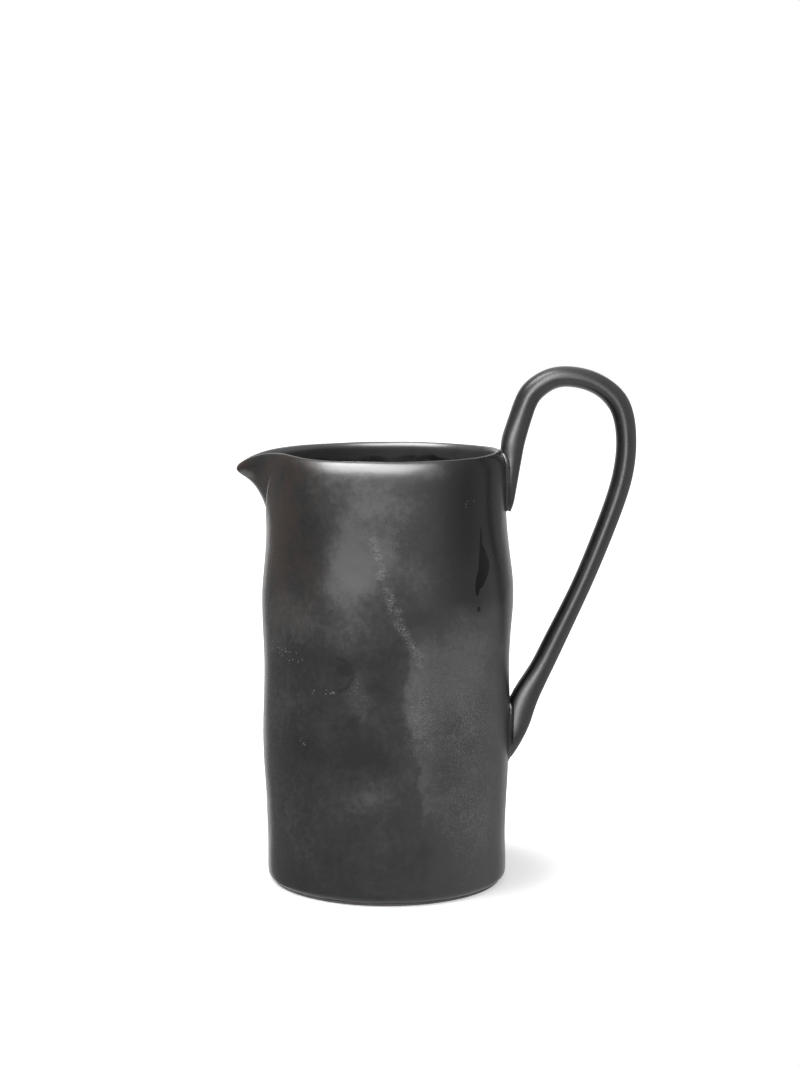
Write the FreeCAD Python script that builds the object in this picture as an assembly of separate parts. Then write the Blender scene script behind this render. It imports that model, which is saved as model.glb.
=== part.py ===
import FreeCAD, Part
import math
import os

# Oinochoe jug: a hand-built stoneware pouring jug with a pinched beak and one tall rolled handle.
# Frame: origin at the centre of the standing face, +Z up, +X towards the handle, the beak at -X.
# Lengths are millimetres and angles are degrees. Azimuth 0 is the handle, 90 the back,
# 180 the beak and 270 the front.

# Wall: one slab of clay rolled round, rubbed in at its lower edge
body_height = 192.0              # standing face to the crest of the rim, at the sides
body_radius = 55.0               # mean outer radius
wall_thickness = 4.4
wall_foot_thickness = 6.2        # the wall is left thicker where the floor joins it
wall_foot_height = 20.0          # up to here it thins to wall_thickness
lower_edge_round = 2.0

# Wall: height as a share of body_height, then outer radius as shares of body_radius
# on the beak side, the front, the handle side and the back
outline_shares = (
    (0.045, 0.985, 0.986, 0.969, 0.990),
    (0.095, 0.986, 0.990, 0.961, 0.995),
    (0.155, 0.993, 0.995, 0.967, 1.000),
    (0.215, 1.000, 1.000, 0.977, 1.006),
    (0.280, 1.014, 1.004, 0.991, 1.009),
    (0.345, 1.023, 1.002, 0.999, 1.006),
    (0.410, 1.014, 0.996, 1.001, 1.000),
    (0.475, 1.006, 0.994, 0.992, 0.994),
    (0.535, 1.008, 0.998, 0.991, 0.992),
    (0.595, 1.016, 1.003, 1.008, 0.996),
    (0.655, 1.024, 1.000, 1.025, 1.003),
    (0.710, 1.014, 0.993, 1.017, 1.006),
    (0.765, 0.992, 0.988, 0.994, 1.000),
    (0.820, 0.978, 0.988, 0.966, 0.993),
    (0.870, 0.974, 0.990, 0.957, 0.990),
    (0.910, 0.973, 0.991, 0.958, 0.990),
    (0.940, 0.973, 0.991, 0.960, 0.990),
)

# Wall: soft dents and swellings left by the hands, as azimuth, height as a share of
# body_height, half width in degrees, half height as a share of body_height, and depth as a
# share of hand_dent_depth, which is below zero for a swelling
hand_dent_depth = 0.9
hand_dent_shares = (
    (252.0, 0.66, 15.0, 0.11, -0.6),
    (238.0, 0.40, 17.0, 0.10, 0.7),
    (287.0, 0.44, 17.0, 0.12, -0.8),
    (300.0, 0.70, 15.0, 0.12, 0.7),
    (265.0, 0.20, 20.0, 0.09, 0.5),
    (222.0, 0.72, 15.0, 0.10, 0.6),
    (118.0, 0.62, 17.0, 0.12, 0.8),
    (75.0, 0.35, 18.0, 0.12, -0.7),
    (60.0, 0.75, 16.0, 0.10, 0.7),
    (140.0, 0.28, 17.0, 0.10, 0.6),
)

# Rim: the lip curls inward over its last millimetres
rim_roll_height = 9.0
rim_roll_depth = 3.8             # from the wall's outer face in to the crest

# Rim: it isn't level, but lifts at one shoulder of the beak and under the handle, as azimuth,
# half width in degrees and lift as a share of rim_lift
rim_lift = 1.3
rim_lift_start_share = 0.80      # of body_height, above which a lift is felt
rim_lift_shares = (
    (206.0, 15.0, 1.0),
    (0.0, 32.0, 0.6),
)

# Rim: points over the crest, as shares of rim_roll_height below the crest
# and of rim_roll_depth in from the wall's outer face
rim_shares = (
    (0.60, 0.10),
    (0.27, 0.33),
    (0.04, 0.66),
    (-0.04, 1.00),
    (0.03, 1.38),
    (0.24, 1.56),
    (0.62, 1.40),
)

# Beak: a pinched pouring lip that swells out of the wall and droops at its tip
beak_reach = 15.1                # how far the tip stands out past the wall
beak_droop = 5.0                 # how far the tip hangs under the rim
beak_half_width = 13.5           # degrees to either side where a third of the reach is left
beak_depth = 42.0                # from the rim down to where the swelling leaves the wall
beak_flare_power = 3.2
beak_curl_share = 0.90           # of the way up the beak, where it stops leaning out

# Beak: the wedge-shaped joint where its clay is let into the wall
wedge_depth = 31.0               # from the rim down to the wedge's point
wedge_half_width = 28.0          # at the rim
wedge_tip_round = 5.0

# Luting: the layer of slip in every joint, and the bead of it that is pushed out round a foot
luting_thickness = 0.8
luting_bead = 0.7

# Foot and floor
foot_ring_height = 1.2
foot_ring_width = 5.4
foot_ring_inset = 0.4            # from the wall's rubbed lower edge
foot_ring_round = 0.4
floor_thickness = 5.4
corner_coil_reach = 8.0          # across the floor and up the wall
corner_coil_edge = 0.7           # clay left at the coil's two edges

# Handle: one roll of clay, with a tongue at the rim and a flared foot low on the wall
handle_reach = 52.7              # from the wall to the centre line at its furthest
handle_rise = 33.0               # from the rim to the centre line at its top
handle_thickness = 9.3           # in the plane of the handle
handle_width = 11.4              # across that plane
handle_bury_share = 0.60         # of wall_thickness that a foot is sunk past the outer face
tongue_length = 25.4             # from the rim down to the cut end
tongue_width = 15.0
lower_foot_height = 84.0         # where the roll's inner side meets the wall
lower_foot_length = 30.5         # from there down to the tip of the foot
lower_foot_width = 17.0
roll_squareness = 2.1            # power of the section's superellipse, 2 for an ellipse
foot_squareness = 3.0
squared_width_share = 1.20       # of handle_width, where the roll is as square as its feet

# Handle: the tongue from its cut end up to the rim, as shares of tongue_length below the
# rim, of handle_thickness out from the wall to its outer side, and of tongue_width
tongue_shares = (
    (1.00, 0.20, 0.86),
    (0.96, 0.32, 0.99),
    (0.65, 0.46, 1.00),
    (0.31, 0.62, 0.96),
    (0.08, 0.73, 0.92),
)

# Handle: the free roll from the rim to the lower foot, as shares of handle_reach out from
# the wall, of its height (0 at the lower foot, 1 at the rim, 2 at the top), of
# handle_thickness and of handle_width
roll_shares = (
    (0.049, 1.112, 1.13, 1.19),
    (0.091, 1.352, 1.11, 1.10),
    (0.146, 1.615, 1.08, 1.04),
    (0.214, 1.806, 1.08, 1.01),
    (0.343, 1.952, 1.03, 0.99),
    (0.482, 2.000, 0.98, 0.98),
    (0.636, 1.970, 0.98, 0.98),
    (0.786, 1.870, 0.99, 0.99),
    (0.915, 1.682, 1.03, 1.00),
    (0.981, 1.427, 1.00, 1.00),
    (1.000, 1.148, 0.97, 1.00),
    (0.993, 0.964, 0.97, 1.01),
    (0.959, 0.872, 0.97, 1.00),
    (0.894, 0.769, 0.96, 0.99),
    (0.816, 0.665, 0.95, 0.98),
    (0.723, 0.549, 0.94, 0.98),
    (0.621, 0.432, 0.94, 0.98),
    (0.511, 0.317, 0.98, 0.99),
    (0.397, 0.200, 1.04, 1.01),
    (0.287, 0.090, 1.09, 1.08),
    (0.167, -0.020, 1.28, 1.24),
)

# Handle: the lower foot down to its tip, as shares of lower_foot_length below its top, of
# handle_thickness out from the wall to its outer side, and of lower_foot_width
lower_foot_shares = (
    (0.40, 0.99, 0.96),
    (0.64, 0.65, 1.00),
    (0.84, 0.33, 0.86),
    (1.00, -0.02, 0.52),
)

# Poles of the smooth surfaces: around the wall, around the handle's roll,
# and how much closer together the wall's lie at the beak
wall_poles = 40
roll_poles = 12
beak_crowding = 0.65
cavity_rings = 9                 # of the inner face, counted from the bottom of the wall
seam_azimuth = 90.0

overrun = 30.0                   # how far a cutting block passes what it cuts
half_turn = 180.0
full_turn = 360.0


def smooth(share):
    """Ease from 0 to 1 without a corner at either end."""
    share = min(1.0, max(0.0, share))
    return share * share * (3.0 - 2.0 * share)


def signed_turn(angle):
    """The same angle between -180 and 180."""
    return (angle + half_turn) % full_turn - half_turn


def hand_dent(azimuth, height):
    """How far the hands pressed the wall in at a place."""
    total = 0.0
    for place, level, half_width, half_height, depth in hand_dent_shares:
        sideways = signed_turn(azimuth - place) / half_width
        upright = (height / body_height - level) / half_height
        total += depth * math.exp(-sideways ** 2 - upright ** 2)
    return total * hand_dent_depth


def outline_at(level):
    """The four outline shares at a height, which is itself a share of body_height."""
    low = outline_shares[0]
    for high in outline_shares:
        if high[0] >= level:
            break
        low = high
    if high[0] == low[0] or level >= high[0]:
        return high[1:]
    between = max(0.0, (level - low[0]) / (high[0] - low[0]))
    return [a + between * (b - a) for a, b in zip(low[1:], high[1:])]


def wall_radius(azimuth, height):
    """Outer radius of the wall, without its rim and beak."""
    across = math.cos(math.radians(azimuth))
    along = math.sin(math.radians(azimuth))
    weights = [max(0.0, side) ** 2 for side in (-across, -along, across, along)]
    shares = outline_at(height / body_height)
    mean_share = sum(weight * share for weight, share in zip(weights, shares))
    return mean_share * body_radius - hand_dent(azimuth, height)


def clay_thickness(height):
    """Thickness of the wall, which grows towards the floor."""
    spare = wall_foot_thickness - wall_thickness
    return wall_foot_thickness - spare * smooth((height - foot_ring_height) / wall_foot_height)


def lift_of_rim(azimuth, height):
    """How far the rim's unevenness raises a place."""
    near_rim = smooth((height / body_height - rim_lift_start_share) / (1.0 - rim_lift_start_share))
    total = 0.0
    for place, half_width, lift in rim_lift_shares:
        total += lift * math.exp(-(signed_turn(azimuth - place) / half_width) ** 2)
    return rim_lift * total * near_rim


def wall_point(azimuth, height, inward):
    """A point of the wall with its beak and lifted rim, so far in from the outer face."""
    rise = (height - body_height + beak_depth) / beak_depth
    lean = (min(beak_curl_share, max(0.0, rise)) / beak_curl_share) ** beak_flare_power
    from_beak = signed_turn(azimuth - half_turn) / beak_half_width
    swelling = lean * (1.0 + from_beak ** 2) ** -1.5
    radius = wall_radius(azimuth, height) - inward + beak_reach * swelling
    lifted = height + lift_of_rim(azimuth, height) - beak_droop * swelling ** 2
    angle = math.radians(azimuth)
    return FreeCAD.Vector(radius * math.cos(angle), radius * math.sin(angle), lifted)


def drawn_through(points, closed):
    """Poles of an evenly knotted cubic curve that passes through the points."""
    count = len(points)
    poles = list(points)
    moving = range(count) if closed else range(2, count - 2)
    for _ in range(12):
        on_curve = {i: (poles[i - 1] + poles[i] * 4.0 + poles[(i + 1) % count]) / 6.0 for i in moving}
        for i in moving:
            poles[i] = poles[i] + points[i] - on_curve[i]
    return poles


def skin(rings):
    """A smooth face over rings of poles, closed around and open at both ends."""
    around = len(rings[0])
    along = len(rings)
    poles = [[ring[i] for ring in rings] for i in range(around)]
    around_knots = [float(i) for i in range(around + 1)]
    along_knots = [float(i) for i in range(along - 2)]
    around_turns = [1] * len(around_knots)
    along_turns = [4] + [1] * (len(along_knots) - 2) + [4]
    surface = Part.BSplineSurface()
    surface.buildFromPolesMultsKnots(
        poles, around_turns, along_turns, around_knots, along_knots, True, False, 3, 3)
    return surface.toShape()


def end_wires(face):
    """The closed curves at the two ends of a skin."""
    return [Part.Wire([edge]) for edge in face.Edges if edge.isClosed()]


def closed_solid(faces):
    """One solid bounded by faces that share their edges."""
    shell = Part.makeShell(faces)
    shell.sewShape()
    solid = Part.makeSolid(shell)
    if solid.Volume < 0.0:
        solid.reverse()
    return solid


def capped(rings):
    """A solid over rings of poles, with a flat face at each end."""
    face = skin(rings)
    return closed_solid([face] + [Part.Face(wire) for wire in end_wires(face)])


def wall_azimuths():
    """Azimuths of the wall's poles, closest together at the beak, from the seam round."""
    azimuths = []
    for i in range(wall_poles):
        turn = 2.0 * i / wall_poles - 1.0
        crowded = turn - beak_crowding / math.pi * math.sin(math.pi * turn)
        azimuths.append(half_turn + half_turn * crowded)
    first = min(range(wall_poles), key=lambda i: abs(signed_turn(azimuths[i] - seam_azimuth)))
    return azimuths[first:] + azimuths[:first]


def wall_rings(stations):
    """Rings of poles through stations, each a height and a distance in from the outer face."""
    azimuths = wall_azimuths()
    rings = []
    for height, inward in stations:
        rings.append(drawn_through([wall_point(turn, height, inward) for turn in azimuths], True))
    return rings


def outer_stations():
    """Up the outer face, from the rubbed lower edge to the foot of the rim."""
    stations = [
        (foot_ring_height, lower_edge_round),
        (foot_ring_height + 0.22 * lower_edge_round, 0.34 * lower_edge_round),
        (foot_ring_height + 0.80 * lower_edge_round, 0.0),
    ]
    return stations + [(row[0] * body_height, 0.0) for row in outline_shares]


def inner_stations():
    """Down the inner face, from the foot of the rim to the bottom of the wall."""
    heights = [row[0] * body_height for row in reversed(outline_shares)]
    heights += [0.5 * (heights[-1] + foot_ring_height), foot_ring_height]
    return [(height, clay_thickness(height)) for height in heights]


def grown(stations, growth):
    """Stations moved straight out of the clay, each across the line of its neighbours."""
    last = len(stations) - 1
    moved = []
    for i, (height, inward) in enumerate(stations):
        before = stations[max(0, i - 1)]
        after = stations[min(last, i + 1)]
        up = after[0] - before[0]
        out = before[1] - after[1]
        length = math.hypot(up, out)
        if i in (0, last):
            moved.append((height, inward - math.copysign(growth, up)))
        else:
            moved.append((height - growth * out / length, inward - growth * up / length))
    return moved


def whole_wall(growth):
    """The wall with rim and beak in one solid, thickened on both faces by growth."""
    rim = []
    for below, depth in rim_shares:
        rim.append((body_height - below * rim_roll_height, depth * rim_roll_depth))
    face = skin(wall_rings(grown(outer_stations() + rim + inner_stations(), growth)))
    bottom = Part.makeFace(end_wires(face), "Part::FaceMakerBullseye")
    return closed_solid([face, bottom])


def wedge(inset):
    """A block through the beak side of the wall, pointed downward, drawn in by inset."""
    slope = math.atan2(wedge_half_width, wedge_depth)
    tip = FreeCAD.Vector(0, 0, body_height - wedge_depth + inset / math.sin(slope))
    top = body_height + overrun
    half_top = (top - tip.z) * math.tan(slope)
    outline = Part.makePolygon([
        tip, FreeCAD.Vector(0, half_top, top), FreeCAD.Vector(0, -half_top, top), tip])
    block = Part.Face(outline).extrude(FreeCAD.Vector(-body_radius - beak_reach - overrun, 0, 0))
    tip_edge = min(block.Edges, key=lambda edge: edge.BoundBox.ZMax)
    return block.makeFillet(wedge_tip_round - inset, [tip_edge])


def slab(low, high):
    """A broad flat block between two heights."""
    half = body_radius + overrun
    return Part.makeBox(2.0 * half, 2.0 * half, high - low, FreeCAD.Vector(-half, -half, low))


def lower_cavity():
    """The space inside the lower part of the wall, well past the floor and its coil."""
    return capped(wall_rings(inner_stations()[-cavity_rings:]))


def make_foot_ring():
    """The bare ring under the joint of wall and floor."""
    outside = lower_edge_round + foot_ring_inset
    inside = outside + foot_ring_width
    heights = [0.0, foot_ring_round, 0.5 * (foot_ring_height + foot_ring_round), foot_ring_height]
    outer = [(height, outside) for height in heights]
    outer[0] = (0.0, outside + foot_ring_round)
    inner = [(height, inside) for height in heights]
    inner[0] = (0.0, inside - foot_ring_round)
    return capped(wall_rings(outer)).cut(capped(wall_rings(inner)))


def make_floor_slab():
    """The disc that closes the bottom, cut to the inside of the wall."""
    return lower_cavity().common(slab(foot_ring_height - overrun, foot_ring_height + floor_thickness))


def make_corner_coil():
    """The coil pressed into the corner of wall and floor, with a hollow face."""
    floor_top = foot_ring_height + floor_thickness
    stations = [(-0.3, corner_coil_reach), (-0.1, corner_coil_reach)]
    for angle in (0.0, 22.5, 45.0, 67.5, 90.0):
        turn = math.radians(angle)
        across = corner_coil_reach - corner_coil_edge
        stations.append((1.0 - math.cos(turn), corner_coil_edge + across * (1.0 - math.sin(turn))))
    stations += [(1.1, corner_coil_edge), (1.3, corner_coil_edge)]
    placed = []
    for share, inward in stations:
        height = floor_top + corner_coil_edge + share * (corner_coil_reach - corner_coil_edge)
        placed.append((height, clay_thickness(height) + inward))
    corner = lower_cavity().common(slab(floor_top, floor_top + corner_coil_reach))
    return corner.cut(capped(wall_rings(placed)))


def roll_stations():
    """Centre, half thickness, half width and squareness along the handle, tongue first."""
    wall_top = wall_radius(0.0, body_height)
    buried = handle_bury_share * wall_thickness
    stations = []
    for below, out, width in tongue_shares:
        outer = wall_top + out * handle_thickness
        inner = wall_top - buried
        height = body_height - below * tongue_length
        stations.append((0.5 * (outer + inner), height, 0.5 * (outer - inner),
                         0.5 * width * tongue_width, foot_squareness))
    for out, level, thickness, width in roll_shares:
        squared = smooth((width - 1.0) / (squared_width_share - 1.0))
        squareness = roll_squareness + squared * (foot_squareness - roll_squareness)
        height = lower_foot_height + min(1.0, level) * (body_height - lower_foot_height)
        height += max(0.0, level - 1.0) * handle_rise
        stations.append((wall_top + out * handle_reach, height, 0.5 * thickness * handle_thickness,
                         0.5 * width * handle_width, squareness))
    for below, out, width in lower_foot_shares:
        height = lower_foot_height - below * lower_foot_length
        outer = wall_radius(0.0, height) + out * handle_thickness
        inner = wall_radius(0.0, height) - buried
        stations.append((0.5 * (outer + inner), height, 0.5 * (outer - inner),
                         0.5 * width * lower_foot_width, foot_squareness))
    return stations


def roll(stations, swell):
    """A solid roll along stations in the plane of the handle, fattened by swell."""
    last = len(stations) - 1
    rings = []
    for i, (x, z, half_thickness, half_width, squareness) in enumerate(stations):
        before = stations[max(0, i - 1)]
        after = stations[min(last, i + 1)]
        along = FreeCAD.Vector(after[0] - before[0], 0, after[1] - before[1]).normalize()
        across = FreeCAD.Vector(along.z, 0, -along.x)
        centre = FreeCAD.Vector(x, 0, z)
        if i == 0:
            centre -= along * swell
        if i == last:
            centre += along * swell
        ring = []
        for k in range(roll_poles):
            turn = math.tau * k / roll_poles
            sides = (math.cos(turn), math.sin(turn))
            wide, deep = [math.copysign(abs(side) ** (2.0 / squareness), side) for side in sides]
            offset = across * (deep * (half_thickness + swell))
            ring.append(centre + offset + FreeCAD.Vector(0, wide * (half_width + swell), 0))
        rings.append(drawn_through(ring, True))
    columns = [drawn_through([ring[k] for ring in rings], False) for k in range(roll_poles)]
    return capped([[column[i] for column in columns] for i in range(len(rings))])


def main():
    wall = whole_wall(0.0)
    luted_wall = whole_wall(luting_thickness)
    slip = luted_wall.cut(wall)
    stations = roll_stations()
    roll_start = len(tongue_shares)
    foot_start = len(stations) - len(lower_foot_shares)
    upper_foot = roll(stations[:roll_start + 3], luting_bead)
    lower_foot = roll(stations[foot_start - 3:], luting_bead)
    joint = wedge(0.0)
    beak_seat = wedge(luting_thickness)

    nodes = {
        "body_wall": wall.cut(joint),
        "spout": wall.common(beak_seat),
        "spout_luting_slip": wall.common(joint.cut(beak_seat)),
        "floor_slab": make_floor_slab(),
        "floor_corner_coil": make_corner_coil(),
        "foot_ring": make_foot_ring(),
        "handle": roll(stations, 0.0).cut(luted_wall),
        "upper_luting_slip": upper_foot.common(slip),
        "lower_luting_slip": lower_foot.common(slip),
    }
    os.makedirs("parts", exist_ok=True)
    for name, shape in nodes.items():
        box = shape.BoundBox
        print("%-18s solids %d valid %s volume %.0f  x %.1f %.1f  y %.1f %.1f  z %.1f %.1f" % (
            name, len(shape.Solids), shape.isValid(), shape.Volume,
            box.XMin, box.XMax, box.YMin, box.YMax, box.ZMin, box.ZMax))
        shape.exportStep("parts/%s.step" % name)


main()
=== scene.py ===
import bpy
import bmesh
import math
import numpy as np
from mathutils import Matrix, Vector, noise
from mathutils.bvhtree import BVHTree


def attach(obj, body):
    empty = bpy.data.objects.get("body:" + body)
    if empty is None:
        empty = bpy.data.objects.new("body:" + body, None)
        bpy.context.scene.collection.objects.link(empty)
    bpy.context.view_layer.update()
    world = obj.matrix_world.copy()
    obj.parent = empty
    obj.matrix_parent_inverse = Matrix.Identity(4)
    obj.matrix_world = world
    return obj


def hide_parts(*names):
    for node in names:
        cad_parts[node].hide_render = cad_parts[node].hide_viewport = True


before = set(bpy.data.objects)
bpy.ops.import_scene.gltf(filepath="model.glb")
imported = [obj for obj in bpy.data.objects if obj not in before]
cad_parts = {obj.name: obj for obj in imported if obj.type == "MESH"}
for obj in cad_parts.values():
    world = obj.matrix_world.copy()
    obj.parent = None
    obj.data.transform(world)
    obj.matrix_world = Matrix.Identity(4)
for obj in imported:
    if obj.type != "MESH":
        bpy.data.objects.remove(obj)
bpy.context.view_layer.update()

mm = 0.001

# Camera
# The jug was seen from a little over a metre away, at the height of someone standing at a
# table, looking slightly down with the handle on the right.
photo_height = 1067
focal_length_px = 2316.0
film_width = 36.0
nearest_seen = 50.0 * mm
camera_distance = 1021.0 * mm
camera_height = 283.0 * mm
camera_offset = 5.5 * mm
camera_pitch = math.radians(7.13)


def placed(name, data):
    """A new object in the scene."""
    made = bpy.data.objects.new(name, data)
    bpy.context.scene.collection.objects.link(made)
    return made


camera_data = bpy.data.cameras.new("camera")
camera_data.sensor_width = film_width
camera_data.lens = focal_length_px / photo_height * film_width
camera_data.clip_start = nearest_seen
camera = placed("camera", camera_data)
camera.location = (camera_offset, -camera_distance, camera_height)
camera.rotation_euler = (math.pi / 2.0 - camera_pitch, 0.0, 0.0)
bpy.context.scene.camera = camera
bpy.context.scene.view_settings.view_transform = "Standard"

# Wall: its shape
# One slab of stoneware rolled round by hand, so it has soft dents and never a true circle.
# Its lip is curled inward with wet fingers, and its lower edge is rubbed round.
body_height = 192.0 * mm
body_radius = 55.0 * mm
wall_thickness = 4.4 * mm
wall_foot_thickness = 6.2 * mm
wall_foot_height = 20.0 * mm
lower_edge_round = 2.0 * mm
lower_edge_shares = ((0.0, 1.0), (0.22, 0.34), (0.80, 0.0))
foot_ring_height = 1.2 * mm

# Level up the wall, and its radius on the beak's side, in front, on the handle's side and behind
outline_shares = (
    (0.045, 0.985, 0.986, 0.969, 0.990),
    (0.095, 0.986, 0.990, 0.961, 0.995),
    (0.155, 0.993, 0.995, 0.967, 1.000),
    (0.215, 1.000, 1.000, 0.977, 1.006),
    (0.280, 1.014, 1.004, 0.991, 1.009),
    (0.345, 1.023, 1.002, 0.999, 1.006),
    (0.410, 1.014, 0.996, 1.001, 1.000),
    (0.475, 1.006, 0.994, 0.992, 0.994),
    (0.535, 1.008, 0.998, 0.991, 0.992),
    (0.595, 1.016, 1.003, 1.008, 0.996),
    (0.655, 1.024, 1.000, 1.025, 1.003),
    (0.710, 1.014, 0.993, 1.017, 1.006),
    (0.765, 0.992, 0.988, 0.994, 1.000),
    (0.820, 0.978, 0.988, 0.966, 0.993),
    (0.870, 0.974, 0.990, 0.957, 0.990),
    (0.910, 0.973, 0.991, 0.958, 0.990),
    (0.940, 0.973, 0.991, 0.960, 0.990),
)

# Azimuth, level, half width in degrees, half height and depth of each dent
hand_dent_depth = 0.9 * mm
hand_dent_shares = (
    (252.0, 0.66, 15.0, 0.11, -0.6),
    (238.0, 0.40, 17.0, 0.10, 0.7),
    (287.0, 0.44, 17.0, 0.12, -0.8),
    (300.0, 0.70, 15.0, 0.12, 0.7),
    (265.0, 0.20, 20.0, 0.09, 0.5),
    (222.0, 0.72, 15.0, 0.10, 0.6),
    (118.0, 0.62, 17.0, 0.12, 0.8),
    (75.0, 0.35, 18.0, 0.12, -0.7),
    (60.0, 0.75, 16.0, 0.10, 0.7),
    (140.0, 0.28, 17.0, 0.10, 0.6),
)

# The rim curls in from below the top, and rises a little at two azimuths
rim_roll_height = 9.0 * mm
rim_roll_depth = 3.8 * mm
rim_shares = (
    (0.60, 0.10), (0.27, 0.33), (0.04, 0.66), (-0.04, 1.00), (0.03, 1.38), (0.24, 1.56), (0.62, 1.40),
)
rim_rise = 1.3 * mm
rim_rise_start_share = 0.80
rim_rise_shares = ((206.0, 15.0, 1.0), (0.0, 32.0, 0.6))
beak_reach = 15.1 * mm
beak_droop = 5.0 * mm
beak_half_turn = 13.5
beak_depth = 42.0 * mm
beak_flare_power = 3.2
beak_curl_share = 0.90
wall_poles = 40
beak_crowding = 0.65
wall_samples = 352
coarse_rows = 5
fine_rows = 11
fine_rows_height = 140.0 * mm
fitting_rounds = 12
just_before = 1e-9
shortest = 1e-12


def smooth(share):
    """Ease from 0 to 1 without a corner at either end."""
    share = min(1.0, max(0.0, share))
    return share * share * (3.0 - 2.0 * share)


def signed_turn(angle):
    """The same angle in degrees between -180 and 180."""
    return (angle + 180.0) % 360.0 - 180.0


def at_turn(azimuth, radius, height):
    """The place at a turn in degrees round the jug's upright middle line."""
    angle = math.radians(azimuth)
    return (radius * math.cos(angle), radius * math.sin(angle), height)


def hand_dent(azimuth, height):
    """How far the hands pressed the wall in at a place."""
    total = 0.0
    for place, level, half_width, half_height, depth in hand_dent_shares:
        sideways = signed_turn(azimuth - place) / half_width
        upright = (height / body_height - level) / half_height
        total += depth * math.exp(-sideways ** 2 - upright ** 2)
    return total * hand_dent_depth


def wall_radius(azimuth, height):
    """Outer radius of the wall, without its rim and beak."""
    levels = [row[0] for row in outline_shares]
    across = math.cos(math.radians(azimuth))
    along = math.sin(math.radians(azimuth))
    weights = [max(0.0, side) ** 2 for side in (-across, -along, across, along)]
    share = 0.0
    for side, weight in enumerate(weights):
        column = [row[side + 1] for row in outline_shares]
        share += weight * np.interp(height / body_height, levels, column)
    return share * body_radius - hand_dent(azimuth, height)


def clay_thickness(height):
    """Thickness of the wall, which grows towards the floor."""
    spare = wall_foot_thickness - wall_thickness
    return wall_foot_thickness - spare * smooth((height - foot_ring_height) / wall_foot_height)


def wall_point(azimuth, height, inward):
    """A point of the wall with its beak and uneven rim, so far in from the outer face."""
    rise = (height - body_height + beak_depth) / beak_depth
    lean = (min(beak_curl_share, max(0.0, rise)) / beak_curl_share) ** beak_flare_power
    from_beak = signed_turn(azimuth - 180.0) / beak_half_turn
    swelling = lean * (1.0 + from_beak ** 2) ** -1.5
    near_rim = smooth((height / body_height - rim_rise_start_share) / (1.0 - rim_rise_start_share))
    rise_share = 0.0
    for place, half_width, share in rim_rise_shares:
        rise_share += share * math.exp(-(signed_turn(azimuth - place) / half_width) ** 2)
    radius = wall_radius(azimuth, height) - inward + beak_reach * swelling
    lifted = height + rim_rise * rise_share * near_rim - beak_droop * swelling ** 2
    return at_turn(azimuth, radius, lifted)


def curve_weights(poles, places, closed):
    """How much each pole of an evenly knotted cubic counts at each place along the curve."""
    table = np.zeros((len(places), poles))
    if closed:
        for row, place in enumerate(places):
            s = place % 1.0
            four = ((1 - s) ** 3, 3 * s ** 3 - 6 * s ** 2 + 4,
                    1 + 3 * s + 3 * s ** 2 - 3 * s ** 3, s ** 3)
            for step, weight in enumerate(four):
                table[row, (int(place) - 1 + step) % poles] += weight / 6.0
        return table
    knots = np.concatenate(([0.0] * 3, np.arange(poles - 2), [poles - 3.0] * 3))
    places = np.minimum(places, poles - 3.0 - just_before)
    table = ((places[:, None] >= knots[:-1]) & (places[:, None] < knots[1:])).astype(float)
    for degree in (1, 2, 3):
        raised = np.zeros((len(places), len(knots) - 1 - degree))
        for i in range(raised.shape[1]):
            left = knots[i + degree] - knots[i]
            right = knots[i + degree + 1] - knots[i + 1]
            if left > 0.0:
                raised[:, i] += (places - knots[i]) / left * table[:, i]
            if right > 0.0:
                raised[:, i] += (knots[i + degree + 1] - places) / right * table[:, i + 1]
        table = raised
    return table


def drawn_through(points, closed):
    """Poles of an evenly knotted cubic curve that passes through the points."""
    poles = points.copy()
    for _ in range(fitting_rounds):
        on_curve = (np.roll(poles, 1, 0) + 4.0 * poles + np.roll(poles, -1, 0)) / 6.0
        step = points - on_curve
        if not closed:
            step[:2] = 0.0
            step[-2:] = 0.0
        poles += step
    return poles


def grown(stations, growth):
    """Stations moved straight out of the clay, each across the line of its neighbours."""
    last = len(stations) - 1
    moved = []
    for i, (height, inward) in enumerate(stations):
        before = stations[max(0, i - 1)]
        after = stations[min(last, i + 1)]
        up = after[0] - before[0]
        out = before[1] - after[1]
        length = math.hypot(up, out)
        if i in (0, last):
            moved.append((height, inward - math.copysign(growth, up)))
        else:
            moved.append((height - growth * out / length, inward - growth * up / length))
    return moved


def outer_stations():
    """Up the outer face, from the rubbed lower edge to the foot of the rim."""
    stations = [(foot_ring_height + up * lower_edge_round, inward * lower_edge_round)
                for up, inward in lower_edge_shares]
    return stations + [(row[0] * body_height, 0.0) for row in outline_shares]


def inner_stations():
    """Down the inner face, from the foot of the rim to the bottom of the wall."""
    heights = [row[0] * body_height for row in reversed(outline_shares)]
    heights += [0.5 * (heights[-1] + foot_ring_height), foot_ring_height]
    return [(height, clay_thickness(height)) for height in heights]


def spread_over(poles, places, around):
    """Points over a surface from its poles, at places along it and evenly around it."""
    rows = curve_weights(len(poles), places, False)
    columns = curve_weights(poles.shape[1], np.arange(around) * poles.shape[1] / around, True)
    return np.einsum("rs,cp,spk->rck", rows, columns, poles)


def wall_grid(stations, around):
    """Points over the wall through stations of height and depth, row by row."""
    turns = 2.0 * np.arange(wall_poles) / wall_poles - 1.0
    azimuths = 180.0 + 180.0 * (turns - beak_crowding / math.pi * np.sin(math.pi * turns))
    rings = []
    for height, inward in stations:
        ring = np.array([wall_point(azimuth, height, inward) for azimuth in azimuths])
        rings.append(drawn_through(ring, True))
    places = [0.0]
    for span in range(len(stations) - 3):
        count = fine_rows if stations[span + 1][0] > fine_rows_height else coarse_rows
        places += [span + (step + 1.0) / count for step in range(count)]
    return spread_over(np.array(rings), np.array(places), around)


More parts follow.
